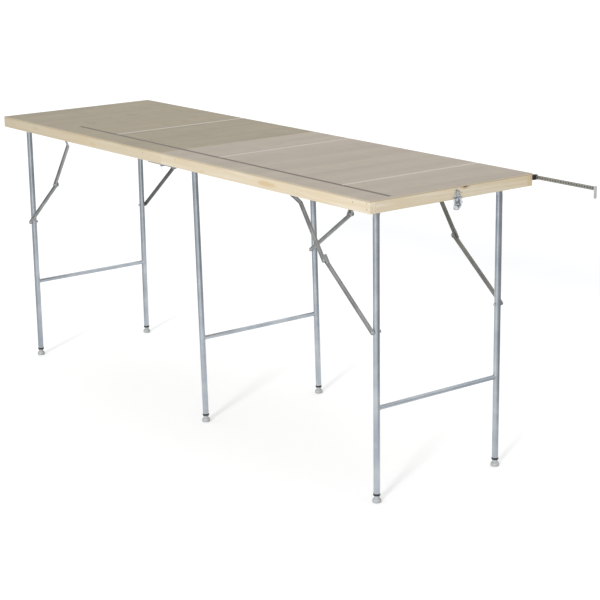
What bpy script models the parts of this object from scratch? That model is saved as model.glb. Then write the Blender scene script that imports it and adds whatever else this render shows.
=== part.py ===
"""Folding wallpaper pasting table with three hinged leg frames, channel braces and a sliding rule.

Lengths are in metres. X runs along the table, Y from its front edge to its back edge, Z up.
Places are counted from the fold line at floor level. The empty table_origin then moves all
pieces so that the world's origin lies under the middle of the whole box.
"""

import math

import bmesh
import bpy
from mathutils import Matrix, Vector

# Table top
TABLE_LENGTH = 2.0
TABLE_WIDTH = 0.6
TABLE_HEIGHT = 0.877
BOARD_THICKNESS = 0.0037
RAIL_HEIGHT = 0.032
RAIL_THICKNESS = 0.020
INNER_RAIL_THICKNESS = 0.010
SEAT_GAP = 0.0003
EDGE_ROUND = 0.0012
BOARD_EDGE_ROUND = 0.0007

# Grooves milled in the board
LONG_GROOVE_WIDTH = 0.013
LONG_GROOVE_DEPTH = 0.0012
LONG_GROOVE_EDGE_DISTANCE = 0.084
LONG_GROOVE_END_SHARES = (-0.617, 0.984)
CROSS_GROOVE_WIDTH = 0.008
CROSS_GROOVE_DEPTH = 0.0007
CROSS_GROOVE_SHARES = (-0.392, 0.189, 0.777)

# Leg frames
TUBE_DIAMETER = 0.019
TUBE_WALL = 0.0012
LEG_BEND_RADIUS = 0.036
CROSSBAR_DROP = 0.024
END_LEG_SETBACK = 0.0515
MIDDLE_LEG_FRONT_SETBACK = 0.0829
MIDDLE_LEG_BACK_SETBACK = 0.0161
LEFT_LEG_INSET = 0.045
RIGHT_LEG_INSET = 0.059
MIDDLE_LEG_PLACE = 0.032
MIDDLE_LEG_TILT = math.radians(1.7)
STRETCHER_DIAMETER = 0.0135
STRETCHER_DROP_SHARE = 0.6765

# Feet
FOOT_DIAMETER = 0.026
FOOT_FACE_DIAMETER = 0.020
FOOT_TOP_DIAMETER = 0.021
FOOT_HEIGHT = 0.013
FOOT_NECK_DIAMETER = 0.016
FOOT_NECK_HEIGHT = 0.0075
FOOT_RING_DIAMETER = 0.0205
FOOT_RING_HEIGHT = 0.006
FOOT_PLUG_LENGTH = 0.014

# Braces of two channel links
BRACE_DROP_SHARE = 0.4197
BRACE_REACH_SHARE = 0.3986
BRACE_PIVOT_RISE = 0.010
LOWER_LINK_SHARE = 0.5231
UPPER_LINK_SHARE = 0.4866
LINK_WIDTH = 0.0122
LINK_DEPTH = 0.006
LINK_WALL = 0.0012
LINK_GAP = 0.0004
END_LANE_GAP = 0.0016
MIDDLE_LANE_GAP = 0.0021
JOGGLE_DEPTH = 0.020
JOGGLE_SHARES = (0.131, 0.257)
CLIP_LENGTH = 0.028
CLIP_THICKNESS = 0.0013

# Bolts and rivets of the braces
BOLT_DIAMETER = 0.006
BOLT_CLEARANCE = 0.0003
BOLT_HEAD_DIAMETER = 0.0086
BOLT_HEAD_THICKNESS = 0.0025
NUT_DIAMETER = 0.0095
NUT_THICKNESS = 0.004
RIVET_DIAMETER = 0.007
RIVET_HEIGHT = 0.004

# Brackets, battens and saddles
BRACKET_LENGTH = 0.030
BRACKET_HEIGHT = 0.026
BRACKET_THICKNESS = 0.002
BRACKET_BOSS_DIAMETER = 0.0086
BATTEN_WIDTH = 0.042
BATTEN_THICKNESS = 0.0078
SADDLE_WIDTH = 0.020
SADDLE_THICKNESS = 0.002
SADDLE_EAR_REACH = 0.0205
SADDLE_PLACE = 0.140
SCREW_HEAD_DIAMETER = 0.0055
SCREW_HEAD_HEIGHT = 0.0012

# Strap hinges under the rails
LEAF_LENGTH = 0.072
LEAF_THICKNESS = 0.002
LEAF_SIDE_MARGIN = 0.001
KNUCKLE_DIAMETER = 0.0066
KNUCKLE_DROP = 0.0045
KNUCKLE_GAP = 0.0003
KNUCKLE_COUNT = 5
CURL_START_ANGLE = 20
CURL_END_ANGLE = 270
HINGE_PIN_DIAMETER = 0.0026
HINGE_PIN_HEAD_DIAMETER = 0.0042
HINGE_PIN_HEAD_THICKNESS = 0.0006

# Sliding rule in its track behind the back rail
TRACK_HEIGHT = 0.0145
TRACK_DEPTH = 0.0135
TRACK_WALL = 0.0012
TRACK_LIP = 0.0032
TRACK_TOP_DROP = 0.00525
TRACK_START = 0.020
TRACK_END_INSET = 0.0035
GUIDE_LENGTH = 0.008
GUIDE_HEIGHT = 0.0150
GUIDE_DEPTH = 0.0165
RULE_LENGTH = 0.920
RULE_HEIGHT = 0.0112
RULE_THICKNESS = 0.0016
RULE_REACH = 0.229
RULE_CLEARANCE = 0.0005
TAB_LENGTH = 0.007
TAB_HEIGHT = 0.035
TAB_THICKNESS = 0.0045
TAB_HEAD_MARGIN = 0.001
TAB_ENTRY = 0.0045

# Bag of spare fittings on its nail
NAIL_DROP = 0.0123
NAIL_PLACE = 0.008
NAIL_DIAMETER = 0.0022
NAIL_HEAD_DIAMETER = 0.0056
NAIL_HEAD_THICKNESS = 0.0012
NAIL_LENGTH = 0.0095
BAG_WIDTH = 0.035
BAG_HEIGHT = 0.063
BAG_HEADER_HEIGHT = 0.016
BAG_DEPTH = 0.0065
BAG_WALL = 0.0006
BAG_BACK_WALL = 0.0008
BAG_STANDOFF = 0.001
BAG_NAIL_MARGIN = 0.0045
BAG_NAIL_SIDE = 0.013
BAG_HOLE_DIAMETER = 0.0030
BAG_ROUND = 0.0010
FITTING_DIAMETER = 0.013
FITTING_THICKNESS = 0.0025
FITTING_SHANK_DIAMETER = 0.004
FITTING_SHANK_LENGTH = 0.024

# Faceting and cutting
TUBE_SIDES = 16
FOOT_SIDES = 16
BOLT_SIDES = 12
ARC_STEPS = 6
ROUND_STEPS = 2
CUT_OVERRUN = 0.004
JOIN_INSET = 0.0002
WELD_DISTANCE = 0.00001

# Places worked out from the sizes above
HALF_LENGTH = TABLE_LENGTH / 2
HALF_WIDTH = TABLE_WIDTH / 2
RAIL_TOP = TABLE_HEIGHT - BOARD_THICKNESS - SEAT_GAP
RAIL_BOTTOM = RAIL_TOP - RAIL_HEIGHT
RAIL_INNER = HALF_WIDTH - RAIL_THICKNESS
RAIL_MIDDLE = HALF_WIDTH - RAIL_THICKNESS / 2
END_LEG_SPREAD = 2 * (RAIL_INNER - END_LEG_SETBACK)
MIDDLE_LEG_SPREAD = 2 * RAIL_INNER - MIDDLE_LEG_FRONT_SETBACK - MIDDLE_LEG_BACK_SETBACK
MIDDLE_LEG_SHIFT = (MIDDLE_LEG_FRONT_SETBACK - MIDDLE_LEG_BACK_SETBACK) / 2
TUBE_RADIUS = TUBE_DIAMETER / 2
LEG_LENGTH = TABLE_HEIGHT - CROSSBAR_DROP
CROSSBAR_HEIGHT = LEG_LENGTH
STRETCHER_DROP = LEG_LENGTH * STRETCHER_DROP_SHARE
BRACE_DROP = LEG_LENGTH * BRACE_DROP_SHARE
BRACE_REACH = LEG_LENGTH * BRACE_REACH_SHARE
BRACE_CHORD = math.hypot(BRACE_REACH, BRACE_DROP + BRACE_PIVOT_RISE)
LOWER_LINK_LENGTH = BRACE_CHORD * LOWER_LINK_SHARE
UPPER_LINK_LENGTH = BRACE_CHORD * UPPER_LINK_SHARE
HINGE_HEIGHT = RAIL_BOTTOM - KNUCKLE_DROP
TRACK_TOP = TABLE_HEIGHT - TRACK_TOP_DROP
TRACK_BACK = HALF_WIDTH + SEAT_GAP
RULE_MIDDLE = TRACK_TOP - TRACK_HEIGHT / 2
RULE_FACE = TRACK_BACK + TRACK_DEPTH - TRACK_WALL - SEAT_GAP
RULE_TIP = HALF_LENGTH + RULE_REACH
NAIL_HEIGHT = TABLE_HEIGHT - NAIL_DROP
TABLE_ORIGIN = (
    -(RULE_REACH + TAB_LENGTH - TAB_ENTRY) / 2,
    -(SEAT_GAP + GUIDE_DEPTH) / 2,
    0,
)
TO_LEFT, TO_RIGHT = -1, 1
TO_FRONT, TO_BACK = -1, 1

COLOURS = {
    "wood": (0.74, 0.66, 0.47, 1.0),
    "board": (0.49, 0.44, 0.35, 1.0),
    "zinc": (0.44, 0.48, 0.52, 1.0),
    "brace": (0.20, 0.20, 0.19, 1.0),
    "foot": (0.48, 0.48, 0.48, 1.0),
    "rule": (0.26, 0.26, 0.23, 1.0),
    "tab": (0.42, 0.42, 0.42, 1.0),
    "black": (0.02, 0.02, 0.02, 1.0),
    "clear": (0.80, 0.84, 0.86, 0.35),
}
METALS = ("zinc", "brace", "rule")
METAL_ROUGHNESS = 0.4
PLAIN_ROUGHNESS = 0.6
SMOOTH_ANGLE = math.radians(40)


def clear_scene():
    for item in list(bpy.data.objects):
        bpy.data.objects.remove(item)


def make_collection(name, in_render):
    collection = bpy.data.collections.new(name)
    collection.hide_render = not in_render
    bpy.context.scene.collection.children.link(collection)
    return collection


def make_empty(name, place, parent=None):
    """An empty at a place given from the fold line, under another empty."""
    empty = bpy.data.objects.new(name, None)
    empty.location = Vector(place) - PLACES.get(parent, Vector())
    empty.parent = parent
    PLACES[empty] = Vector(place)
    PARTS.objects.link(empty)
    return empty


def finish(item, kind, smooth=False):
    """Gives a piece its material and, if it is round, smooth shading."""
    material = bpy.data.materials.new(item.name)
    material.use_nodes = True
    shader = material.node_tree.nodes["Principled BSDF"]
    shader.inputs["Base Color"].default_value = COLOURS[kind]
    shader.inputs["Alpha"].default_value = COLOURS[kind][3]
    shader.inputs["Metallic"].default_value = float(kind in METALS)
    shader.inputs["Roughness"].default_value = METAL_ROUGHNESS if kind in METALS else PLAIN_ROUGHNESS
    item.data.materials.append(material)
    if smooth:
        item.data.shade_smooth()
        item.data.set_sharp_from_angle(angle=SMOOTH_ANGLE)
    return item


def hang(body, items):
    """Puts pieces under the empty that stands on their joint's axis, where they are."""
    for item in items:
        item.parent = body
        item.location -= PLACES[body]


def object_from(name, work, pivot=(0, 0, 0)):
    """Makes an object from an edit mesh, with its origin at pivot."""
    bmesh.ops.translate(work, verts=work.verts, vec=-Vector(pivot))
    mesh = bpy.data.meshes.new(name)
    work.to_mesh(mesh)
    work.free()
    item = bpy.data.objects.new(name, mesh)
    item.location = pivot
    item.parent = ORIGIN
    PARTS.objects.link(item)
    return item


def box(name, low, high, pivot=(0, 0, 0)):
    """A block between two corners."""
    low, high = Vector(low), Vector(high)
    work = bmesh.new()
    bmesh.ops.create_cube(work, size=1)
    size = Matrix.Diagonal(high - low).to_4x4()
    bmesh.ops.transform(work, matrix=Matrix.Translation((low + high) / 2) @ size, verts=work.verts)
    return object_from(name, work, pivot)


def rod(name, start, end, diameter, sides=BOLT_SIDES, pivot=(0, 0, 0)):
    """A round bar between two points."""
    start, end = Vector(start), Vector(end)
    run = end - start
    work = bmesh.new()
    bmesh.ops.create_cone(
        work,
        cap_ends=True,
        segments=sides,
        radius1=diameter / 2,
        radius2=diameter / 2,
        depth=run.length,
    )
    turn = run.to_track_quat("Z", "Y").to_matrix().to_4x4()
    bmesh.ops.transform(work, matrix=Matrix.Translation((start + end) / 2) @ turn, verts=work.verts)
    return object_from(name, work, pivot)


def cross_rod(name, centre, start, end, diameter, sides=BOLT_SIDES):
    """A round bar along Y through an (x, z) point."""
    across, up = centre
    return rod(name, (across, start, up), (across, end, up), diameter, sides)


def mesh_of(curve_item, pivot=(0, 0, 0)):
    """Turns a curve object into a mesh object of the same name, with welded caps."""
    name = curve_item.name
    bpy.context.scene.collection.objects.link(curve_item)
    bpy.context.view_layer.update()
    graph = bpy.context.evaluated_depsgraph_get()
    mesh = bpy.data.meshes.new_from_object(curve_item.evaluated_get(graph))
    work = bmesh.new()
    work.from_mesh(mesh)
    bmesh.ops.transform(work, matrix=curve_item.matrix_world, verts=work.verts)
    bmesh.ops.remove_doubles(work, verts=work.verts, dist=WELD_DISTANCE)
    bmesh.ops.recalc_face_normals(work, faces=work.faces)
    bpy.data.objects.remove(curve_item)
    bpy.data.meshes.remove(mesh)
    return object_from(name, work, pivot)


def plate(name, outlines, low, high, axis="Y", pivot=(0, 0, 0)):
    """A flat outline between two depths along an axis. Further outlines are its holes.

    The points are (x, z) where the axis is Y and (y, z) where it is X.
    """
    curve = bpy.data.curves.new(name, "CURVE")
    curve.dimensions = "2D"
    curve.fill_mode = "BOTH"
    curve.extrude = abs(high - low) / 2
    for outline in outlines:
        spline = curve.splines.new("POLY")
        spline.points.add(len(outline) - 1)
        spline.use_cyclic_u = True
        for point, (across, up) in zip(spline.points, outline):
            point.co = (across, up, 0, 1)
    item = bpy.data.objects.new(name, curve)
    along_x = Matrix(((0, 0, 1, 0), (1, 0, 0, 0), (0, 1, 0, 0), (0, 0, 0, 1)))
    along_y = Matrix(((1, 0, 0, 0), (0, 0, -1, 0), (0, 1, 0, 0), (0, 0, 0, 1)))
    item.matrix_world = along_x if axis == "X" else along_y
    item.location["XY".index(axis)] = (low + high) / 2
    return mesh_of(item, pivot)


def turned(name, profile, steps):
    """A turned piece about Z: the profile holds (radius, height) points from top to bottom."""
    mesh = bpy.data.meshes.new(name)
    points = [(radius, 0, height) for radius, height in profile]
    mesh.from_pydata(points, [(i, i + 1) for i in range(len(points) - 1)], [])
    item = bpy.data.objects.new(name, mesh)
    item.parent = ORIGIN
    PARTS.objects.link(item)
    screw = item.modifiers.new("turn", "SCREW")
    screw.steps = steps
    screw.render_steps = steps
    screw.use_merge_vertices = True
    screw.merge_threshold = WELD_DISTANCE
    return item


def boolean(item, other, operation):
    """Cuts or joins with another object, which goes to the cutters."""
    PARTS.objects.unlink(other)
    CUTTERS.objects.link(other)
    other.hide_render = True
    other.display_type = "WIRE"
    change = item.modifiers.new(other.name, "BOOLEAN")
    change.operation = operation
    change.solver = "MANIFOLD"
    change.object = other
    return other


def cut(item, other):
    return boolean(item, other, "DIFFERENCE")


def join(item, other):
    return boolean(item, other, "UNION")


def bevel(item, width, steps=1):
    change = item.modifiers.new("edges", "BEVEL")
    change.width = width
    change.segments = steps
    change.limit_method = "ANGLE"


def arc(centre, radius, first, last, steps=ARC_STEPS):
    """Points of an arc between two angles in degrees."""
    turns = [math.radians(first + (last - first) * i / steps) for i in range(steps + 1)]
    return [(centre[0] + radius * math.cos(turn), centre[1] + radius * math.sin(turn)) for turn in turns]


def circle(centre, diameter, sides=BOLT_SIDES):
    return arc(centre, diameter / 2, 0, 360, sides)[:-1]


def stadium(start, end, radius):
    """The outline of a bar with round ends about two points."""
    heading = math.degrees(math.atan2(end[1] - start[1], end[0] - start[0]))
    start_end = arc(start, radius, heading + 90, heading + 270)
    return start_end + arc(end, radius, heading - 90, heading + 90)


def board(name, start, end):
    """One half of the thin board, with the grooves that cross it."""
    top = TABLE_HEIGHT
    item = box(name, (start, -HALF_WIDTH, top - BOARD_THICKNESS), (end, HALF_WIDTH, top))
    finish(item, "board")
    bevel(item, BOARD_EDGE_ROUND)
    groove_y = LONG_GROOVE_EDGE_DISTANCE - HALF_WIDTH
    left, right = (share * HALF_LENGTH for share in LONG_GROOVE_END_SHARES)
    left, right = max(left, start - CUT_OVERRUN), min(right, end + CUT_OVERRUN)
    low = (left, groove_y - LONG_GROOVE_WIDTH / 2, top - LONG_GROOVE_DEPTH)
    high = (right, groove_y + LONG_GROOVE_WIDTH / 2, top + CUT_OVERRUN)
    cut(item, box(f"{name}_long_groove", low, high))
    for i, share in enumerate(CROSS_GROOVE_SHARES):
        place = share * HALF_LENGTH
        if start < place < end:
            low = (place - CROSS_GROOVE_WIDTH / 2, groove_y, top - CROSS_GROOVE_DEPTH)
            high = (place + CROSS_GROOVE_WIDTH / 2, HALF_WIDTH + CUT_OVERRUN, top + CUT_OVERRUN)
            cut(item, box(f"{name}_cross_groove_{i}", low, high))
    return item


def rail(name, low, high):
    item = finish(box(name, (*low, RAIL_BOTTOM), (*high, RAIL_TOP)), "wood")
    bevel(item, EDGE_ROUND, ROUND_STEPS)
    return item


def half_top(name, side):
    """The board and the four rails of the left or the right half."""
    inner, outer = side * SEAT_GAP, side * HALF_LENGTH
    start, end = sorted((inner, outer))
    butt = RAIL_INNER - SEAT_GAP
    pieces = [
        board(f"board_{name}", start, end),
        rail(f"rail_front_{name}", (start, -HALF_WIDTH), (end, -RAIL_INNER)),
        rail(f"rail_back_{name}", (start, RAIL_INNER), (end, HALF_WIDTH)),
    ]
    first, last = sorted((outer, outer - side * RAIL_THICKNESS))
    pieces.append(rail(f"rail_end_{name}", (first, -butt), (last, butt)))
    first, last = sorted((inner, inner + side * INNER_RAIL_THICKNESS))
    pieces.append(rail(f"rail_inner_{name}", (first, -butt), (last, butt)))
    return pieces


def batten(name, middle):
    """The flat strip under the board that a frame's saddles are screwed to."""
    butt = RAIL_INNER - SEAT_GAP
    low = (middle - BATTEN_WIDTH / 2, -butt, RAIL_TOP - BATTEN_THICKNESS)
    item = finish(box(name, low, (middle + BATTEN_WIDTH / 2, butt, RAIL_TOP)), "wood")
    bevel(item, EDGE_ROUND)
    return item


def saddle(name, middle, place):
    """A pressed strap that a frame's crossbar turns in, with its two screws."""
    inner = TUBE_RADIUS + SEAT_GAP
    outer = inner + SADDLE_THICKNESS
    top = RAIL_TOP - BATTEN_THICKNESS - SEAT_GAP
    ear = top - SADDLE_THICKNESS
    centre = (middle, CROSSBAR_HEIGHT)
    left, right = middle - SADDLE_EAR_REACH, middle + SADDLE_EAR_REACH
    outline = [(left, top), (left, ear), (middle - outer, ear)]
    outline += arc(centre, outer, 180, 360, 2 * ARC_STEPS)
    outline += [(middle + outer, ear), (right, ear), (right, top), (middle + inner, top)]
    outline += arc(centre, inner, 360, 180, 2 * ARC_STEPS)
    outline += [(middle - inner, top)]
    item = plate(name, [outline], place - SADDLE_WIDTH / 2, place + SADDLE_WIDTH / 2)
    finish(item, "zinc", smooth=True)
    for side in (TO_LEFT, TO_RIGHT):
        across = middle + side * (outer + SADDLE_EAR_REACH) / 2
        head = (across, place, ear - SCREW_HEAD_HEIGHT)
        root = (across, place, top - SADDLE_THICKNESS / 2)
        join(item, rod(f"{name}_screw_{side}", root, head, SCREW_HEAD_DIAMETER))
    return item


def strap_hinge_leaf(name, side, edge):
    """One leaf of a strap hinge, on the left or right half under the front or back rail."""
    middle = edge * RAIL_MIDDLE
    half = RAIL_THICKNESS / 2 - LEAF_SIDE_MARGIN
    top = RAIL_BOTTOM - SEAT_GAP
    bottom = top - LEAF_THICKNESS
    radius = KNUCKLE_DIAMETER / 2
    relief = radius + KNUCKLE_GAP + LEAF_THICKNESS / 2
    first, last = sorted((side * relief, side * LEAF_LENGTH))
    item = box(name, (first, middle - half, bottom), (last, middle + half, top))
    finish(item, "zinc", smooth=True)
    root = side * (relief + LEAF_THICKNESS)
    curl = [(root, top - JOIN_INSET), (0, top - JOIN_INSET)]
    first_angle, last_angle = 90 + side * CURL_START_ANGLE, 90 + side * CURL_END_ANGLE
    curl += arc((0, HINGE_HEIGHT), radius, first_angle, last_angle, 2 * ARC_STEPS)
    curl += [(side * radius, bottom + JOIN_INSET), (root, bottom + JOIN_INSET)]
    pitch = 2 * half / KNUCKLE_COUNT
    for i in range(KNUCKLE_COUNT):
        if (i % 2 == 0) == (side == TO_RIGHT):
            low = middle - half + i * pitch + KNUCKLE_GAP / 2
            join(item, plate(f"{name}_knuckle_{i}", [curl], low, low + pitch - KNUCKLE_GAP))
    reach = half + CUT_OVERRUN
    bore = HINGE_PIN_DIAMETER + 2 * KNUCKLE_GAP
    cut(item, cross_rod(f"{name}_bore", (0, HINGE_HEIGHT), middle - reach, middle + reach, bore))
    return item


def hinge_pin(name, edge):
    """The pin of a strap hinge, with a small head at each end."""
    middle = edge * RAIL_MIDDLE
    half = RAIL_THICKNESS / 2 - LEAF_SIDE_MARGIN + SEAT_GAP
    centre = (0, HINGE_HEIGHT)
    item = cross_rod(name, centre, middle - half, middle + half, HINGE_PIN_DIAMETER)
    finish(item, "zinc", smooth=True)
    for side in (TO_FRONT, TO_BACK):
        inner = middle + side * (half - JOIN_INSET)
        outer = middle + side * (half + HINGE_PIN_HEAD_THICKNESS)
        join(item, cross_rod(f"{name}_head_{side}", centre, inner, outer, HINGE_PIN_HEAD_DIAMETER))
    return item


def place_in_frame(item, crossbar, tilt):
    """Moves a piece that is modelled about its frame's crossbar to the frame's place and tilt."""
    lean = Matrix.Rotation(-tilt, 4, "Y")
    item.matrix_basis = Matrix.Translation(crossbar) @ lean @ item.matrix_basis


def leg_tube(name, leg_y):
    """The tube that is bent to both legs and the crossbar, hollow and open at its ends."""
    foot_top = FOOT_HEIGHT + FOOT_NECK_HEIGHT + FOOT_RING_HEIGHT
    corner = (LEG_BEND_RADIUS - leg_y, -LEG_BEND_RADIUS)
    front = [(-leg_y, foot_top + SEAT_GAP - LEG_LENGTH)] + arc(corner, LEG_BEND_RADIUS, 180, 90)
    path = front + [(-across, up) for across, up in reversed(front)]
    curve = bpy.data.curves.new(name, "CURVE")
    curve.dimensions = "3D"
    curve.bevel_depth = TUBE_RADIUS
    curve.bevel_resolution = TUBE_SIDES // 2 - 2
    spline = curve.splines.new("POLY")
    spline.points.add(len(path) - 1)
    for point, (across, up) in zip(spline.points, path):
        point.co = (0, across, up, 1)
    tube = mesh_of(bpy.data.objects.new(name, curve))
    wall = tube.modifiers.new("wall", "SOLIDIFY")
    wall.thickness = TUBE_WALL
    wall.use_even_offset = True
    return finish(tube, "zinc", smooth=True)


def stretcher(name, leg_y):
    """The bar between the legs, with ends coped to the tubes. Returns it and its cutters."""
    bar = rod(
        name, (0, -leg_y, -STRETCHER_DROP), (0, leg_y, -STRETCHER_DROP), STRETCHER_DIAMETER, TUBE_SIDES
    )
    finish(bar, "zinc", smooth=True)
    copes = []
    for side in (TO_FRONT, TO_BACK):
        low = (0, side * leg_y, -STRETCHER_DROP - STRETCHER_DIAMETER)
        high = (0, side * leg_y, -STRETCHER_DROP + STRETCHER_DIAMETER)
        cope = rod(f"{name}_cope_{side}", low, high, TUBE_DIAMETER + 2 * SEAT_GAP, TUBE_SIDES)
        copes.append(cut(bar, cope))
    return bar, copes


def foot(name, leg_y):
    """A plastic foot: a plug for the tube, a ring under its end, a neck and a flared base."""
    base = -LEG_LENGTH
    neck_base = base + FOOT_HEIGHT
    ring_base = neck_base + FOOT_NECK_HEIGHT
    ring_top = ring_base + FOOT_RING_HEIGHT
    plug_top = ring_top + FOOT_PLUG_LENGTH
    plug = TUBE_RADIUS - TUBE_WALL - SEAT_GAP
    flare = (FOOT_DIAMETER - FOOT_FACE_DIAMETER) / 2
    profile = [
        (0, plug_top),
        (plug - TUBE_WALL, plug_top),
        (plug, plug_top - TUBE_WALL),
        (plug, ring_top),
        (FOOT_RING_DIAMETER / 2, ring_top),
        (FOOT_RING_DIAMETER / 2, ring_base),
        (FOOT_NECK_DIAMETER / 2, ring_base),
        (FOOT_NECK_DIAMETER / 2, neck_base),
        (FOOT_TOP_DIAMETER / 2, neck_base),
        (FOOT_DIAMETER / 2, neck_base - flare),
        (FOOT_DIAMETER / 2, base + flare),
        (FOOT_FACE_DIAMETER / 2, base),
        (0, base),
    ]
    item = turned(name, profile, FOOT_SIDES)
    item.location = (0, leg_y, 0)
    return finish(item, "foot", smooth=True)


def leg_frame(name, crossbar, spread, tilt, lanes):
    """A leg frame: the bent tube, bored for the brace bolts, the stretcher and the two feet."""
    leg_y = spread / 2
    tube = leg_tube(f"{name}_leg_tube", leg_y)
    bar, movers = stretcher(f"{name}_stretcher", leg_y)
    pieces = [tube, bar, foot(f"{name}_foot_front", -leg_y), foot(f"{name}_foot_back", leg_y)]
    bore = BOLT_DIAMETER + 2 * BOLT_CLEARANCE
    for lane in lanes:
        place = lane["edge"] * leg_y
        ends = place - TUBE_DIAMETER, place + TUBE_DIAMETER
        movers.append(cut(tube, cross_rod(f"{name}_bore_{lane['name']}", (0, -BRACE_DROP), *ends, bore)))
    for item in pieces + movers:
        place_in_frame(item, crossbar, tilt)
    return pieces


def make_lane(name, edge, out, leg_y, gap):
    """The Y planes of a brace's two links: out is the way from the leg to the links."""
    face = leg_y + out * (TUBE_RADIUS + gap)
    upper = face + out * (LINK_DEPTH + LINK_GAP)
    return {"name": name, "edge": edge, "out": out, "leg": leg_y, "lower": face, "upper": upper}


def knuckle_of(hole, top, side):
    """Where a brace's links meet: on the side of their chord that faces away from the corner."""
    run = top - hole
    along = (LOWER_LINK_LENGTH**2 - UPPER_LINK_LENGTH**2 + run.length_squared) / (2 * run.length)
    off = math.sqrt(max(LOWER_LINK_LENGTH**2 - along**2, 0))
    ahead = run.normalized()
    return hole + along * ahead + off * side * Vector((ahead.y, -ahead.x))


def channel(name, pivot, tip, web, out, holes=()):
    """A channel link that turns at pivot, with a rivet in its tip. Its web is at Y web."""
    start, end = tuple(pivot), tuple(tip)
    rim = web + out * LINK_DEPTH
    outline = stadium(start, end, LINK_WIDTH / 2)
    item = plate(name, [outline, *holes], web, rim, pivot=(start[0], web, start[1]))
    finish(item, "brace", smooth=True)
    hollow = stadium(start, end, LINK_WIDTH / 2 - LINK_WALL)
    cut(item, plate(f"{name}_hollow", [hollow], web + out * LINK_WALL, rim + out * CUT_OVERRUN))
    floor = web + out * (LINK_WALL - JOIN_INSET)
    join(item, cross_rod(f"{name}_rivet", end, floor, web + out * RIVET_HEIGHT, RIVET_DIAMETER))
    return item


def pivot_bolt(item, pivot, lane):
    """The bolt that a lower link is fixed to and turns with: it goes through the leg to its nut."""
    out, web = lane["out"], lane["lower"]
    centre = tuple(pivot)
    root = web + out * (LINK_WALL - JOIN_INSET)
    nut_root = lane["leg"] - out * (TUBE_RADIUS + SEAT_GAP)
    nut_end = nut_root - out * NUT_THICKNESS
    collar_end = lane["leg"] + out * (TUBE_RADIUS + SEAT_GAP)
    head_end = root + out * BOLT_HEAD_THICKNESS
    join(item, cross_rod(f"{item.name}_shank", centre, nut_end, root, BOLT_DIAMETER))
    join(item, cross_rod(f"{item.name}_nut", centre, nut_root, nut_end, NUT_DIAMETER, sides=6))
    join(item, cross_rod(f"{item.name}_head", centre, root, head_end, BOLT_HEAD_DIAMETER))
    collar_root = web + out * JOIN_INSET
    join(item, cross_rod(f"{item.name}_collar", centre, collar_root, collar_end, BOLT_HEAD_DIAMETER))


def stop_clip(item, pivot, tip, hole, lane, side):
    """The clip on the upper link that the lower link rests against when the brace is locked."""
    ahead = (tip - pivot).normalized()
    corner = side * Vector((ahead.y, -ahead.x))
    kink = ahead.angle(hole - tip)
    out, web = lane["out"], lane["upper"]
    half = CLIP_LENGTH / 2
    inner = LINK_WIDTH / 2 / math.cos(kink) + half * math.tan(kink) + SEAT_GAP
    outer = inner + CLIP_THICKNESS

    def strip(near, far, length):
        ends = [tip + corner * near - ahead * length, tip + corner * near + ahead * length]
        ends += [tip + corner * far + ahead * length, tip + corner * far - ahead * length]
        return [tuple(end) for end in ends]

    root = LINK_WIDTH / 2 - LINK_WALL / 2
    tab_low, tab_high = web + out * JOIN_INSET, web + out * (LINK_WALL + JOIN_INSET)
    tab = strip(root, outer - JOIN_INSET, half - JOIN_INSET)
    join(item, plate(f"{item.name}_clip_tab", [tab], tab_low, tab_high))
    flange = strip(inner, outer, half)
    flange_end = web + out * (LINK_WALL + 2 * JOIN_INSET)
    join(item, plate(f"{item.name}_clip_flange", [flange], lane["lower"] + out * LINK_WALL, flange_end))


def joggle(item, pivot, tip, out):
    """Sets the top end of a front upper link outwards, towards its rail."""
    bpy.context.view_layer.update()
    graph = bpy.context.evaluated_depsgraph_get()
    mesh = bpy.data.meshes.new_from_object(item.evaluated_get(graph))
    run = Vector((tip.x - pivot.x, 0, tip.y - pivot.y))
    ahead = run.normalized()
    first, last = (share * run.length for share in JOGGLE_SHARES)
    work = bmesh.new()
    work.from_mesh(mesh)
    for reach in (first, last):
        geometry = work.verts[:] + work.edges[:] + work.faces[:]
        bmesh.ops.bisect_plane(
            work, geom=geometry, dist=WELD_DISTANCE, plane_co=ahead * reach, plane_no=ahead
        )
    for vertex in work.verts:
        share = (last - vertex.co.dot(ahead)) / (last - first)
        vertex.co.y += out * JOGGLE_DEPTH * min(max(share, 0), 1)
    bmesh.ops.triangulate(work, faces=[face for face in work.faces if len(face.verts) > 4])
    work.to_mesh(mesh)
    work.free()
    item.modifiers.clear()
    item.data = mesh
    item.data.set_sharp_from_angle(angle=SMOOTH_ANGLE)


def bracket(name, top, lane, web, rail_face):
    """A plate on a rail's inner side with the boss and pin that an upper link turns on."""
    toward = math.copysign(1, web - rail_face)
    across, up = top
    face = rail_face + toward * SEAT_GAP
    inner = face + toward * BRACKET_THICKNESS
    low_y, high_y = sorted((face, inner))
    plate_top = RAIL_TOP - SEAT_GAP
    low = (across - BRACKET_LENGTH / 2, low_y, plate_top - BRACKET_HEIGHT)
    item = finish(box(name, low, (across + BRACKET_LENGTH / 2, high_y, plate_top)), "zinc", smooth=True)
    web_faces = web, web + lane["out"] * LINK_WALL
    near_face, far_face = sorted(web_faces, key=lambda place: abs(place - rail_face))
    boss_root = face + toward * BRACKET_THICKNESS / 2
    boss_end = near_face - toward * SEAT_GAP
    join(item, cross_rod(f"{name}_boss", top, boss_root, boss_end, BRACKET_BOSS_DIAMETER))
    pin_root = boss_end - toward * BRACKET_THICKNESS
    if toward == lane["out"]:
        pin_end = far_face + toward * (SEAT_GAP + BOLT_HEAD_THICKNESS)
        head_root = far_face + toward * SEAT_GAP
        join(item, cross_rod(f"{name}_head", top, head_root, pin_end, BOLT_HEAD_DIAMETER))
    else:
        pin_end = far_face
    join(item, cross_rod(f"{name}_pin", top, pin_root, pin_end, BOLT_DIAMETER))
    return item


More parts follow.
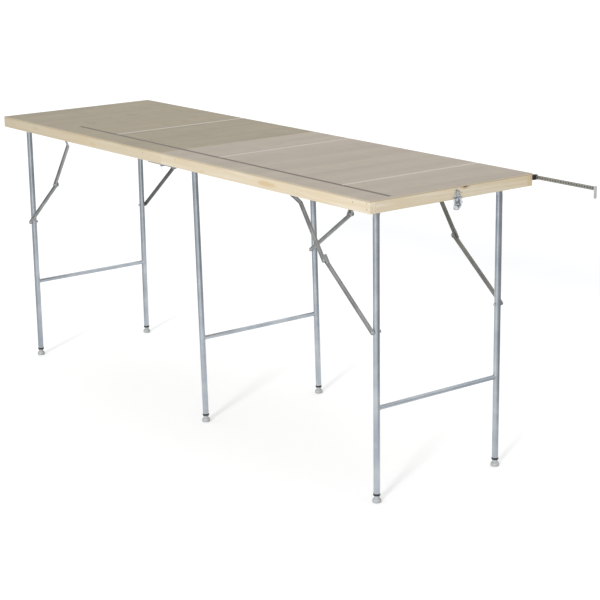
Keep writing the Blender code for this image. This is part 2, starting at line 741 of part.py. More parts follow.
def brace(name, crossbar, tilt, side, lane, rail_face, joggled):
    """A two-link brace: side is the way from the leg to the bracket. Returns its three pieces."""
    pivot = Vector((crossbar[0], crossbar[2]))
    hole = pivot + BRACE_DROP * Vector((math.sin(tilt), -math.cos(tilt)))
    top = pivot + Vector((side * BRACE_REACH, BRACE_PIVOT_RISE))
    knuckle = knuckle_of(hole, top, side)
    lower = channel(f"{name}_lower_link", hole, knuckle, lane["lower"], lane["out"])
    pivot_bolt(lower, hole, lane)
    pin_hole = circle(tuple(top), BOLT_DIAMETER + 2 * BOLT_CLEARANCE)
    upper = channel(f"{name}_upper_link", top, knuckle, lane["upper"], lane["out"], [pin_hole])
    stop_clip(upper, top, knuckle, hole, lane, side)
    web = lane["upper"]
    if joggled:
        joggle(upper, top, knuckle, lane["out"])
        web += lane["out"] * JOGGLE_DEPTH
    return lower, upper, bracket(f"{name}_bracket", tuple(top), lane, web, rail_face)


def rule_track():
    """The channel behind the back rail that the rule slides in."""
    back, front = TRACK_BACK, TRACK_BACK + TRACK_DEPTH
    top, bottom = TRACK_TOP, TRACK_TOP - TRACK_HEIGHT
    wall, lip = TRACK_WALL, TRACK_LIP
    outline = [
        (back, bottom),
        (front, bottom),
        (front, bottom + lip),
        (front - wall, bottom + lip),
        (front - wall, bottom + wall),
        (back + wall, bottom + wall),
        (back + wall, top - wall),
        (front - wall, top - wall),
        (front - wall, top - lip),
        (front, top - lip),
        (front, top),
        (back, top),
    ]
    end = HALF_LENGTH - TRACK_END_INSET - SEAT_GAP
    return finish(plate("rule_track", [outline], TRACK_START, end, axis="X"), "zinc")


def rule_box(name, start, end, margin, height, thickness):
    """A block about the rule's section: margin is added all round."""
    middle = RULE_FACE - RULE_THICKNESS / 2
    half_height, half_thickness = height / 2 + margin, thickness / 2 + margin
    low = (start, middle - half_thickness, RULE_MIDDLE - half_height)
    return box(name, low, (end, middle + half_thickness, RULE_MIDDLE + half_height))


def rule_guide():
    """The black end piece of the track, with the slot that the rule comes out of."""
    start = HALF_LENGTH - TRACK_END_INSET
    low = (start, TRACK_BACK, RULE_MIDDLE - GUIDE_HEIGHT / 2)
    high = (start + GUIDE_LENGTH, TRACK_BACK + GUIDE_DEPTH, RULE_MIDDLE + GUIDE_HEIGHT / 2)
    item = finish(box("rule_guide", low, high), "black")
    bevel(item, EDGE_ROUND, ROUND_STEPS)
    slot_start = start - CUT_OVERRUN
    slot_end = start + GUIDE_LENGTH + CUT_OVERRUN
    cut(item, rule_box("guide_slot", slot_start, slot_end, RULE_CLEARANCE, RULE_HEIGHT, RULE_THICKNESS))
    return item


def rule_blade():
    start = RULE_TIP - RULE_LENGTH
    return finish(rule_box("rule_blade", start, RULE_TIP, 0, RULE_HEIGHT, RULE_THICKNESS), "rule")


def rule_tab():
    """The grip on the rule's end, which hangs down and is rounded at the bottom."""
    middle = RULE_FACE - RULE_THICKNESS / 2
    left = RULE_TIP - TAB_ENTRY
    top = RULE_MIDDLE + RULE_HEIGHT / 2 + TAB_HEAD_MARGIN
    radius = TAB_LENGTH / 2
    outline = [(left + TAB_LENGTH, top), (left, top)]
    outline += arc((left + radius, top - TAB_HEIGHT + radius), radius, 180, 360)
    item = plate("rule_tab", [outline], middle - TAB_THICKNESS / 2, middle + TAB_THICKNESS / 2)
    finish(item, "tab")
    start = left - CUT_OVERRUN
    cut(item, rule_box("tab_slot", start, RULE_TIP + SEAT_GAP, SEAT_GAP, RULE_HEIGHT, RULE_THICKNESS))
    return item


def bag_nail():
    """The nail in the end rail that the bag hangs on."""
    start = HALF_LENGTH + SEAT_GAP
    end = start + NAIL_LENGTH
    shank = rod("bag_nail", (start, NAIL_PLACE, NAIL_HEIGHT), (end, NAIL_PLACE, NAIL_HEIGHT), NAIL_DIAMETER)
    finish(shank, "zinc", smooth=True)
    head_end = (end + NAIL_HEAD_THICKNESS, NAIL_PLACE, NAIL_HEIGHT)
    root = (end - JOIN_INSET, NAIL_PLACE, NAIL_HEIGHT)
    join(shank, rod("nail_head", root, head_end, NAIL_HEAD_DIAMETER))
    return shank


def bag_corners():
    """The bag's low and high corners."""
    back = HALF_LENGTH + BAG_STANDOFF
    side = NAIL_PLACE - BAG_NAIL_SIDE
    top = NAIL_HEIGHT + BAG_NAIL_MARGIN
    return Vector((back, side, top - BAG_HEIGHT)), Vector((back + BAG_DEPTH, side + BAG_WIDTH, top))


def parts_bag():
    """A flat bag, open at the top of its pouch, with a header sheet that the nail goes through."""
    low, high = bag_corners()
    nail = (HALF_LENGTH, NAIL_PLACE, NAIL_HEIGHT)
    item = finish(box("parts_bag", low, high, pivot=nail), "clear")
    bevel(item, BAG_ROUND, ROUND_STEPS)
    mouth = high.z - BAG_HEADER_HEIGHT
    over = Vector((CUT_OVERRUN, CUT_OVERRUN, CUT_OVERRUN))
    header_low = (low.x + BAG_WALL, low.y - CUT_OVERRUN, mouth)
    cut(item, box("bag_header_relief", header_low, high + over))
    pocket_low = (low.x + BAG_BACK_WALL, low.y + BAG_WALL, low.z + BAG_WALL)
    pocket_high = (high.x - BAG_WALL, high.y - BAG_WALL, mouth + CUT_OVERRUN)
    cut(item, box("bag_pocket", pocket_low, pocket_high))
    through = (low.x + CUT_OVERRUN, NAIL_PLACE, NAIL_HEIGHT)
    cut(item, rod("bag_hole", (low.x - CUT_OVERRUN, NAIL_PLACE, NAIL_HEIGHT), through, BAG_HOLE_DIAMETER))
    return item


def spare_fittings():
    """The metal fittings in the bag: a knob on a threaded shank."""
    low, high = bag_corners()
    across = (low.x + high.x) / 2
    middle = (low.y + high.y) / 2
    base = low.z + BAG_WALL + BAG_ROUND
    knob_z = base + FITTING_DIAMETER / 2
    half = FITTING_THICKNESS / 2
    item = rod(
        "spare_fittings", (across - half, middle, knob_z), (across + half, middle, knob_z),
        FITTING_DIAMETER, TUBE_SIDES,
    )
    finish(item, "zinc", smooth=True)
    root = (across, middle, knob_z + FITTING_DIAMETER / 4)
    tip = (across, middle, knob_z + FITTING_SHANK_LENGTH)
    join(item, rod("fitting_shank", root, tip, FITTING_SHANK_DIAMETER))
    return item


def leg_set(name, body_parent, crossbar, spread, tilt, side, lanes, shared):
    """A leg frame with its saddles, batten and braces, on the half that carries it."""
    fixed = [batten(f"batten_{name}", crossbar[0])]
    for edge, label in ((TO_FRONT, "front"), (TO_BACK, "back")):
        fixed.append(saddle(f"saddle_{name}_{label}", crossbar[0], crossbar[1] + edge * SADDLE_PLACE))
    leg_body = make_empty(f"{name}_leg_pivot", crossbar, body_parent)
    hang(leg_body, leg_frame(name, crossbar, spread, tilt, lanes))
    for lane in lanes:
        edge = lane["edge"]
        rail_face = edge * RAIL_INNER
        pieces = brace(f"{name}_{lane['name']}", crossbar, tilt, side, lane, rail_face, edge == TO_FRONT)
        lower, upper, holder = pieces
        fixed.append(holder)
        for item, parent in ((lower, leg_body), (upper, body_parent)):
            joint = make_empty(f"{item.name}_pivot", item.location, parent)
            hang(joint, [item])
    shared += fixed


def build_table():
    right_pieces = half_top("right", TO_RIGHT)
    left_pieces = half_top("left", TO_LEFT)
    fold = make_empty("left_half_pivot", (0, 0, HINGE_HEIGHT), ORIGIN)
    for edge, label in ((TO_FRONT, "front"), (TO_BACK, "back")):
        right_pieces.append(strap_hinge_leaf(f"hinge_leaf_{label}_right", TO_RIGHT, edge))
        left_pieces.append(strap_hinge_leaf(f"hinge_leaf_{label}_left", TO_LEFT, edge))
        right_pieces.append(hinge_pin(f"hinge_pin_{label}", edge))

    end_leg = END_LEG_SPREAD / 2
    end_lanes = [
        make_lane("front", TO_FRONT, TO_FRONT, -end_leg, END_LANE_GAP),
        make_lane("back", TO_BACK, TO_BACK, end_leg, END_LANE_GAP),
    ]
    middle_leg = MIDDLE_LEG_SHIFT + MIDDLE_LEG_SPREAD / 2
    middle_lanes = [make_lane("back", TO_BACK, TO_FRONT, middle_leg, MIDDLE_LANE_GAP)]
    left = (LEFT_LEG_INSET - HALF_LENGTH, 0, CROSSBAR_HEIGHT)
    right = (HALF_LENGTH - RIGHT_LEG_INSET, 0, CROSSBAR_HEIGHT)
    middle = (MIDDLE_LEG_PLACE, MIDDLE_LEG_SHIFT, CROSSBAR_HEIGHT)
    leg_set("left", fold, left, END_LEG_SPREAD, 0, TO_RIGHT, end_lanes, left_pieces)
    leg_set("right", ORIGIN, right, END_LEG_SPREAD, 0, TO_LEFT, end_lanes, right_pieces)
    leg_set(
        "middle", ORIGIN, middle, MIDDLE_LEG_SPREAD, MIDDLE_LEG_TILT, TO_RIGHT, middle_lanes, right_pieces
    )

    rule_track()
    rule_guide()
    hang(make_empty("rule_slide", (RULE_TIP, RULE_FACE, RULE_MIDDLE), ORIGIN), [rule_blade(), rule_tab()])
    bag_nail()
    bag_place = (HALF_LENGTH, NAIL_PLACE, NAIL_HEIGHT)
    hang(make_empty("bag_pivot", bag_place, ORIGIN), [parts_bag(), spare_fittings()])
    hang(fold, left_pieces)


clear_scene()
PLACES = {}
PARTS = make_collection("pasting_table", in_render=True)
CUTTERS = make_collection("cutters", in_render=False)
ORIGIN = make_empty("table_origin", (0, 0, 0))
build_table()
ORIGIN.location = TABLE_ORIGIN
bpy.context.view_layer.update()
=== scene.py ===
import math

import bpy
import mathutils
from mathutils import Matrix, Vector


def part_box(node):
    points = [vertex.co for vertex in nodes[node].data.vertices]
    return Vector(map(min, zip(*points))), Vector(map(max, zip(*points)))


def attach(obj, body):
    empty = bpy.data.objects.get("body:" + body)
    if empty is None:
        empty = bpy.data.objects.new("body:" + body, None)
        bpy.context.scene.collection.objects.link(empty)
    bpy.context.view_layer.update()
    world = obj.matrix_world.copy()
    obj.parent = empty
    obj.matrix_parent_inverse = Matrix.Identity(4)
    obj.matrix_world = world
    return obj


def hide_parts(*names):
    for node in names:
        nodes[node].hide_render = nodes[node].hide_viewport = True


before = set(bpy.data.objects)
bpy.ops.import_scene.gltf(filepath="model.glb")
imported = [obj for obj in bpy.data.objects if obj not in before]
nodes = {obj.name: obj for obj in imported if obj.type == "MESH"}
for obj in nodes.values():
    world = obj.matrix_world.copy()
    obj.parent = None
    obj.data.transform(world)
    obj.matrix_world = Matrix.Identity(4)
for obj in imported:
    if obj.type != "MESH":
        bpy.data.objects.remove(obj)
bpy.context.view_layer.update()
print("frame loaded")


# Camera, floor and lights

cameraSettings = {
    "place": (4.2364, -3.1194, 1.7665),
    "turn": (1.3126, 0.0136, 0.9120),
    "lens": 102.06,
    "sensor": 36,
    "clip": (0.05, 200),
}


def makeCamera(settings):
    data = bpy.data.cameras.new("camera")
    data.lens = settings["lens"]
    data.sensor_width = settings["sensor"]
    data.clip_start, data.clip_end = settings["clip"]
    camera = bpy.data.objects.new("camera", data)
    camera.location = settings["place"]
    camera.rotation_euler = settings["turn"]
    bpy.context.collection.objects.link(camera)
    bpy.context.scene.camera = camera


def paint(red, green, blue):  # a colour as a screen shows it, 0 to 255
    shares = [value / 255 for value in (red, green, blue)]
    linear = [s / 12.92 if s <= 0.04045 else ((s + 0.055) / 1.055) ** 2.4 for s in shares]
    return (*linear, 1.0)


class Wire:  # a node's output that takes Python arithmetic
    def __init__(self, graph, socket):
        self.graph = graph
        self.socket = socket

    def maths(self, operation, *values, **settings):
        return self.graph.node("ShaderNodeMath", {"operation": operation, **settings}, values)

    def __add__(self, other):
        return self.maths("ADD", self, other)

    def __sub__(self, other):
        return self.maths("SUBTRACT", self, other)

    def __rsub__(self, other):
        return self.maths("SUBTRACT", other, self)

    def __mul__(self, other):
        return self.maths("MULTIPLY", self, other)

    def __truediv__(self, other):
        return self.maths("DIVIDE", self, other)

    def __pow__(self, other):
        return self.maths("POWER", self, other)

    def __abs__(self):
        return self.maths("ABSOLUTE", self)

    def over(self, limit):  # 1 where this is above the limit
        return self.maths("GREATER_THAN", self, limit)

    def under(self, limit):
        return self.maths("LESS_THAN", self, limit)

    def clipped(self):
        return self.maths("ADD", self, 0, use_clamp=True)

    def fold(self, pitch):  # distance to the nearest multiple of the pitch
        return self.maths("PINGPONG", self, pitch / 2)

    __radd__ = __add__
    __rmul__ = __mul__


class Finish:  # a material and the nodes that make it
    def __init__(self, name):
        self.material = bpy.data.materials.new(name)
        self.material.use_nodes = True
        self.tree = self.material.node_tree
        self.shader = self.tree.nodes["Principled BSDF"]
        self.end = self.tree.nodes["Material Output"]
        self.spot = None

    def link(self, value, socket):
        if isinstance(value, Wire):
            self.tree.links.new(value.socket, socket)
        else:
            socket.default_value = value

    def node(self, kind, settings=None, inputs=(), out=0):
        made = self.tree.nodes.new(kind)
        for name, value in (settings or {}).items():
            if name == "stops":
                ramp = made.color_ramp
                while len(ramp.elements) < len(value):
                    ramp.elements.new(0.5)
                for element, (place, colour) in zip(ramp.elements, value):
                    element.position = place
                    element.color = colour
            else:
                setattr(made, name, value)
        pairs = inputs.items() if isinstance(inputs, dict) else enumerate(inputs)
        for key, value in pairs:
            self.link(value, made.inputs[key])
        return Wire(self, made.outputs[out])

    def place(self):  # where a point is on the piece
        if self.spot is None:
            self.spot = self.node("ShaderNodeTexCoord", out="Object")
        return self.spot

    def axes(self):
        split = self.node("ShaderNodeSeparateXYZ", inputs=[self.place()])
        outputs = split.socket.node.outputs
        return [Wire(self, outputs[i]) for i in range(3)]

    def stretched(self, scale, shift=(0, 0, 0)):
        inputs = {"Vector": self.place(), "Scale": scale, "Location": shift}
        return self.node("ShaderNodeMapping", inputs=inputs)

    def noise(self, vector, scale, detail=3, roughness=0.55, distortion=0):
        inputs = {
            "Vector": vector, "Scale": scale, "Detail": detail,
            "Roughness": roughness, "Distortion": distortion,
        }
        return self.node("ShaderNodeTexNoise", inputs=inputs)

    def ramp(self, value, *stops):
        return self.node("ShaderNodeValToRGB", {"stops": stops}, [value])

    def level(self, value, low, high, newLow=0.0, newHigh=1.0):  # a value from one range to another
        inputs = [value, low, high, newLow, newHigh]
        return self.node("ShaderNodeMapRange", {"clamp": True}, inputs)

    def blend(self, share, first, second, way="MIX"):
        made = self.tree.nodes.new("ShaderNodeMix")
        made.data_type = "RGBA"
        made.blend_type = way
        for value, index in ((share, 0), (first, 6), (second, 7)):  # the colour sockets of a Mix node
            self.link(value, made.inputs[index])
        return Wire(self, made.outputs[2])

    def bump(self, height, strength, distance):
        inputs = {"Height": height, "Strength": strength, "Distance": distance}
        return self.node("ShaderNodeBump", inputs=inputs)

    def surface(self, **sockets):
        for name, value in sockets.items():
            label = name.replace("_", " ")
            self.link(value, self.shader.inputs[label])
        return self.material


stageSettings = {
    "floorSize": 60,
    "floorUnder": 0.0004,    # how far the floor lies below the feet
    "floorTone": (0.86, 0.86, 0.86, 1),
    "shownWhite": 0.36,      # how much of the seen floor is its own white
    "shownShade": 0.85,      # how much of it follows light and shadow
    "airStrength": 0.62,
    "airTone": (0.97, 0.985, 1.0, 1),
    # painted dark reflection: toward these directions the floor turns dark for glossy rays only, so
    # metal shows darker bands where the studio beside the white paper would be:
    # direction in degrees, start, end, darkness
    "sides": [(50, 0.6, 1.5, 0.66), (-150, 0.5, 1.7, 0.50)],
}

lampSettings = {
    "key": {"toward": (0.50, -0.87), "height": 19, "energy": 1.75, "spread": 9},
    "top": {"toward": (-0.3, 0.4), "height": 68, "energy": 0.30, "spread": 60},
}


def seenDirectly(finish):  # 1 for the camera and for what mirrors or glass show
    path = finish.tree.nodes.new("ShaderNodeLightPath")
    rays = ("Is Camera Ray", "Is Glossy Ray", "Is Transmission Ray")
    camera, mirrored, passed = [Wire(finish, path.outputs[ray]) for ray in rays]
    return (camera + mirrored + passed).clipped()


def makeFloor(settings):
    bpy.ops.object.select_all(action="DESELECT")
    place = (0, 0, -settings["floorUnder"])
    bpy.ops.mesh.primitive_plane_add(size=settings["floorSize"], location=place)
    floor = bpy.context.object
    floor.name = "floor"
    finish = Finish("pale floor")
    lit = finish.node("ShaderNodeBsdfDiffuse", inputs={"Color": settings["floorTone"]})
    shade = [settings["shownShade"]] * 3
    shown = finish.node("ShaderNodeBsdfDiffuse", inputs={"Color": (*shade, 1)})
    white = finish.node("ShaderNodeEmission", inputs={"Strength": settings["shownWhite"]})
    both = finish.node("ShaderNodeAddShader", inputs=[shown, white])
    x, y = finish.axes()[:2]
    # painted dark reflection: the floor darkens toward the listed directions, for glossy rays only
    bright = 1
    for degrees, start, end, darkness in settings["sides"]:
        reach = x * math.cos(math.radians(degrees)) + y * math.sin(math.radians(degrees))
        bright = bright * (1 - finish.level(reach, start, end, 0, darkness))
    inMetal = finish.node("ShaderNodeLightPath", out="Is Glossy Ray")
    dark = finish.node("ShaderNodeEmission", inputs={"Strength": 0})
    paintedDarkReflection = finish.node("ShaderNodeMixShader", inputs=[(1 - bright) * inMetal, both, dark])
    mixed = finish.node("ShaderNodeMixShader", inputs=[seenDirectly(finish), lit, paintedDarkReflection])
    finish.link(mixed, finish.end.inputs["Surface"])
    floor.data.materials.append(finish.material)


def makeAir(settings):
    world = bpy.data.worlds.new("studio air")
    world.use_nodes = True
    bpy.context.scene.world = world
    finish = Finish.__new__(Finish)    # no material, only the node helpers on the world's tree
    finish.tree = world.node_tree
    background = finish.tree.nodes["Background"]
    seen = finish.node("ShaderNodeBackground", inputs={"Color": (1, 1, 1, 1), "Strength": 1.0})
    background.inputs["Color"].default_value = settings["airTone"]
    background.inputs["Strength"].default_value = settings["airStrength"]
    light = Wire(finish, background.outputs[0])
    mixed = finish.node("ShaderNodeMixShader", inputs=[seenDirectly(finish), light, seen])
    finish.link(mixed, finish.tree.nodes["World Output"].inputs["Surface"])


def makeLamp(name, settings):
    data = bpy.data.lights.new(name, "SUN")
    data.energy = settings["energy"]
    data.angle = math.radians(settings["spread"])
    lamp = bpy.data.objects.new(name, data)
    across, back = settings["toward"]
    flat = math.cos(math.radians(settings["height"])) / math.hypot(across, back)
    source = Vector((across * flat, back * flat, math.sin(math.radians(settings["height"]))))
    lamp.rotation_mode = "QUATERNION"
    lamp.rotation_quaternion = source.to_track_quat("Z", "Y")
    bpy.context.collection.objects.link(lamp)


makeCamera(cameraSettings)
makeFloor(stageSettings)
makeAir(stageSettings)
for lampName, lampValues in lampSettings.items():
    makeLamp(lampName, lampValues)
bpy.context.scene.view_settings.view_transform = "Standard"
print("camera, floor and lights ready")


# Where things are, in the table's own plan: X from the fold line, Y from the table's middle

planShift = Vector((-0.11575, -0.0084, 0))


def plan(across, back, up=0.0):
    return Vector((across, back, up)) + planShift


# Finishes

pineSettings = {
    "pale": paint(233, 221, 196),
    "deep": paint(219, 201, 165),
    "warm": paint(226, 200, 156),
    "fibre": paint(208, 190, 156),
    "endGrain": paint(206, 187, 148),
    "grain": (1.6, 34),      # how close the rings are along the grain and across it
    "endFace": 0.9994,       # how far from the fold line a rail's end face is
    "roughness": 0.62,
}

pinePaintedLight = {
    # piece: painted light and shade, as factors on its colour at the low and the high end along the
    # grain
    "rail_end_left": ((0.90, 0.91, 0.96, 1), (0.90, 0.91, 0.96, 1)),
    "rail_end_right": ((0.94, 0.94, 0.98, 1), (0.84, 0.84, 0.84, 1)),
    "rail_front_left": ((0.66, 0.66, 0.66, 1), (0.85, 0.85, 0.86, 1)),
    "rail_front_right": ((0.88, 0.88, 0.91, 1), (0.98, 0.98, 1.02, 1)),
}

pineKnots = {
    # piece: (place in plan, half width along the grain, half height, core, halo)
    "rail_end_right": [
        (plan(1.0, 0.0416, 0.8735), 0.0085, 0.0036, paint(74, 52, 44), paint(176, 140, 104)),
    ],
    "rail_front_right": [
        (plan(0.545, -0.3, 0.857), 0.050, 0.0085, paint(216, 192, 148), paint(226, 209, 178)),
        (plan(0.22, -0.3, 0.848), 0.014, 0.0040, paint(220, 200, 158), paint(228, 212, 178)),
    ],
    "rail_front_left": [
        (plan(-0.40, -0.3, 0.853), 0.026, 0.0050, paint(222, 203, 162), paint(228, 213, 180)),
        (plan(-0.78, -0.3, 0.860), 0.018, 0.0040, paint(220, 202, 164), paint(228, 212, 180)),
    ],
}


def makePine(name, settings, knots, tones, seed):
    finish = Finish(name)
    first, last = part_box(name)
    runs = last.x - first.x > last.y - first.y    # the grain runs along X
    inX, inY = settings["grain"] if runs else settings["grain"][::-1]
    shift = (seed, seed * 1.7, seed * 0.6)
    ringPlace = finish.stretched((inX, inY, settings["grain"][1]), shift)
    rings = finish.noise(ringPlace, 1.0, detail=2, roughness=0.5, distortion=0.6)
    fibrePlace = finish.stretched((inX * 5, inY * 9, 300), shift)
    fibre = finish.noise(fibrePlace, 1.0, detail=4, roughness=0.6)
    cloud = finish.noise(finish.place(), 5.0, detail=2)
    pale, deep = settings["pale"], settings["deep"]
    body = finish.ramp(rings, (0.34, pale), (0.55, deep), (0.66, pale))
    body = finish.blend(finish.level(rings, 0.30, 0.70, 0.45, 0.78), pale, body)
    body = finish.blend(finish.level(cloud, 0.4, 0.75, 0.0, 0.35), body, settings["warm"])
    body = finish.blend(finish.level(fibre, 0.52, 0.75, 0.0, 0.42), body, settings["fibre"])
    spots = finish.axes()
    if name.startswith("rail_back"):    # their end grain shows at the table's corners
        atEnd = abs(spots[0] - planShift.x).over(settings["endFace"])
        pores = finish.noise(finish.stretched((1, 260, 60), shift), 1.0, detail=3, roughness=0.6)
        pits = finish.level(pores, 0.4, 0.65, 0.0, 0.7)
        cut = finish.blend(pits, settings["endGrain"], settings["fibre"])
        body = finish.blend(atEnd, body, cut)
    wobble = (finish.noise(finish.place(), 95, detail=3) - 0.5) * 0.9
    for centre, wide, high, core, halo in knots:
        flat = (spots[0] - centre.x) if runs else (spots[1] - centre.y)
        off = ((flat / wide) ** 2 + ((spots[2] - centre.z) / high) ** 2) ** 0.5 + wobble
        body = finish.blend(finish.level(off, 1.1, 2.6, 0.75, 0.0), body, halo)
        body = finish.blend(finish.level(off, 0.55, 1.05, 0.95, 0.0), body, core)
    # painted light and shade: the colour is scaled from one end of the piece to the other
    if tones:
        place, ends = (spots[0], (first.x, last.x)) if runs else (spots[1], (first.y, last.y))
        body = finish.blend(1.0, body, finish.blend(finish.level(place, *ends), *tones), "MULTIPLY")
    rough = finish.level(fibre, 0.3, 0.8, settings["roughness"] - 0.08, settings["roughness"] + 0.12)
    relief = finish.bump(fibre, strength=0.25, distance=0.0006)
    return finish.surface(Base_Color=body, Roughness=rough, Normal=relief)


boardSettings = {
    "left": (paint(170, 160, 141), paint(156, 146, 127), paint(182, 169, 146)),
    "right": (paint(188, 177, 164), paint(176, 165, 152), paint(197, 185, 168)),
    # painted shade: the walls and floor of the groove along the front are darkened
    "paintedGrooveShade": paint(130, 124, 116),
    "strip": paint(213, 207, 198),
    "edge": paint(203, 188, 156),
    "inside": (0.9988, 0.2988),    # half length and half width within the cut edges
    "face": 0.87694,         # just under the top face
    "grooveFloor": 0.8745,   # just under the floors of the grooves
    "cutEdge": 0.8764,       # the cut edges show below this
    "grooveLine": -0.216,
    "grooveHalf": 0.0067,
    "stripLines": (-0.392, 0.189, 0.777),
    "stripHalf": 0.0055,
    "roughness": 0.72,
}


def makeBoard(name, tones, settings, seed):
    finish = Finish(name)
    plain, dark, light = tones
    x, y, z = finish.axes()
    streakPlace = finish.stretched((13, 0.9, 1), (seed, 0, 0))
    streaks = finish.noise(streakPlace, 1.0, detail=5, roughness=0.62, distortion=0.5)
    finePlace = finish.stretched((260, 9, 1), (seed, 0, 0))
    fine = finish.noise(finePlace, 1.0, detail=3, roughness=0.5)
    cloud = finish.noise(finish.place(), 2.2, detail=3, roughness=0.6, distortion=0.4)
    body = finish.ramp(streaks, (0.30, dark), (0.5, plain), (0.74, light))
    body = finish.blend(finish.level(cloud, 0.35, 0.7, 0.0, 0.4), body, plain)
    body = finish.blend(finish.level(fine, 0.5, 0.8, 0.0, 0.28), body, dark)
    mottlePlace = finish.stretched((11, 24, 1), (seed, 2, 0))
    mottle = finish.noise(mottlePlace, 1.0, detail=4, roughness=0.65, distortion=0.8)
    body = finish.blend(finish.level(mottle, 0.55, 0.72, 0.0, 0.55), body, dark)
    body = finish.blend(finish.level(mottle, 0.45, 0.30, 0.0, 0.30), body, light)
    halfLength, halfWidth = settings["inside"]
    inside = abs(y - planShift.y).under(halfWidth) * abs(x - planShift.x).under(halfLength)
    sunk = inside * z.under(settings["face"]) * z.over(settings["grooveFloor"])
    line = settings["grooveLine"] + planShift.y
    strips = 0
    for across in settings["stripLines"]:
        strips = strips + abs(x - (across + planShift.x)).under(settings["stripHalf"])
    inner = inside * z.over(settings["grooveFloor"]) * y.over(line)
    body = finish.blend(inner * strips, body, settings["strip"])
    # painted shade: darkens the walls and floor of the groove along the front
    body = finish.blend(sunk * abs(y - line).under(settings["grooveHalf"]), body, settings["paintedGrooveShade"])
    side = (1 - inside) * z.under(settings["cutEdge"])
    body = finish.blend(side * 0.65, body, settings["edge"])
    rough = finish.level(streaks, 0.3, 0.7, settings["roughness"] - 0.06, settings["roughness"] + 0.08)
    relief = finish.bump(fine, strength=0.12, distance=0.0003)
    return finish.surface(Base_Color=body, Roughness=rough, Normal=relief, Specular_IOR_Level=0.25)


metalSettings = {
    # name: (plain, dark, light, metallic, roughness, how fine the grains are)
    "zinc": (paint(177, 184, 191), paint(163, 171, 180), paint(194, 200, 205), 0.90, 0.20, 420),
    "nail": (paint(170, 156, 132), paint(140, 126, 106), paint(192, 178, 152), 0.25, 0.5, 200),
    "bright": (paint(78, 84, 100), paint(34, 38, 50), paint(204, 209, 216), 0.75, 0.22, 260),
    "knuckle": (paint(146, 145, 140), paint(104, 103, 99), paint(178, 177, 171), 0.5, 0.34, 300),
    "fitting": (paint(176, 181, 184), paint(152, 158, 164), paint(200, 204, 208), 0.8, 0.34, 160),
    "brace": (paint(163, 164, 164), paint(146, 147, 147), paint(180, 181, 180), 0.45, 0.40, 110),
    # painted shade: darker copies of the brace steel, for the back braces
    "warmShadedBrace": (paint(124, 123, 117), paint(108, 107, 102), paint(146, 145, 138), 0.45, 0.40, 110),
    "shadedBrace": (paint(92, 92, 93), paint(80, 80, 81), paint(110, 110, 110), 0.45, 0.40, 110),
    "track": (paint(168, 172, 174), paint(150, 154, 158), paint(186, 190, 192), 0.8, 0.36, 80),
}


def makeMetal(name, settings, brightPlaces=None):  # brightPlaces gives 1 where the piece is bright
    plain, dark, light, metallic, roughness, fineness = settings
    finish = Finish(name)
    cloud = finish.noise(finish.place(), 14, detail=3, roughness=0.6)
    grains = finish.noise(finish.place(), fineness, detail=2, roughness=0.5)
    drawn = finish.noise(finish.stretched((420, 420, 9)), 1.0, detail=3, roughness=0.5)
    body = finish.ramp(cloud, (0.32, dark), (0.52, plain), (0.75, light))
    body = finish.blend(finish.level(grains, 0.45, 0.72, 0.0, 0.20), body, light)
    body = finish.blend(finish.level(drawn, 0.55, 0.8, 0.0, 0.15), body, dark)
    if brightPlaces:
        body = finish.blend(brightPlaces(finish), body, linkSettings["bright"])
    rough = finish.level(grains, 0.3, 0.75, roughness - 0.03, roughness + 0.05)
    relief = finish.bump(grains, strength=0.04, distance=0.0001)
    return finish.surface(Base_Color=body, Roughness=rough, Metallic=metallic, Normal=relief)


plasticSettings = {
    "foot": (paint(182, 184, 185), paint(164, 166, 168), 0.42),
    "grip": (paint(186, 186, 184), paint(170, 170, 169), 0.40),
    "black": (paint(38, 38, 40), paint(26, 26, 28), 0.45),
}


def makePlastic(name, settings):
    plain, dark, roughness = settings
    finish = Finish(name)
    cloud = finish.noise(finish.place(), 60, detail=3)
    pores = finish.noise(finish.place(), 900, detail=2)
    body = finish.blend(finish.level(cloud, 0.35, 0.7), plain, dark)
    rough = finish.level(pores, 0.3, 0.7, roughness - 0.06, roughness + 0.08)
    relief = finish.bump(pores, strength=0.08, distance=0.0001)
    return finish.surface(Base_Color=body, Roughness=rough, Normal=relief)


ruleSettings = {
    "steel": paint(166, 166, 160),
    "worn": paint(146, 146, 140),
    "mark": paint(62, 60, 56),
    "short": 0.0018,     # reach of a short mark from either edge
    "pitch": 0.005,
    "width": 0.0007,     # of a short mark
    "centimetre": 0.01,
    "block": (0.0019, 0.0021),   # half length and half height of the figures' places
}


def makeRule(name, settings):
    finish = Finish(name)
    low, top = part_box("rule_blade")
    x, _, z = finish.axes()
    offMiddle = abs(z - (low.z + top.z) / 2)
    edge = (top.z - low.z) / 2 - offMiddle
    run = x - top.x
    fine = run.fold(settings["pitch"]).under(settings["width"] / 2) * edge.under(settings["short"])
    wide, high = settings["block"]
    coarse = run.fold(settings["centimetre"]).under(wide) * offMiddle.under(high)
    marks = (fine + coarse).clipped()
    cloud = finish.noise(finish.stretched((6, 60, 60)), 1.0, detail=4)
    body = finish.blend(finish.level(cloud, 0.35, 0.7), settings["steel"], settings["worn"])
    body = finish.blend(marks, body, settings["mark"])
    rough = finish.level(cloud, 0.3, 0.7, 0.30, 0.45)
    return finish.surface(Base_Color=body, Roughness=rough, Metallic=0.55)


filmSettings = {
    "tone": paint(228, 232, 236),
    "shade": paint(170, 175, 184),
    "clear": 0.05,           # cover where the film is smooth
    "creased": 0.32,         # cover along a crease
    "roughness": 0.16,
}


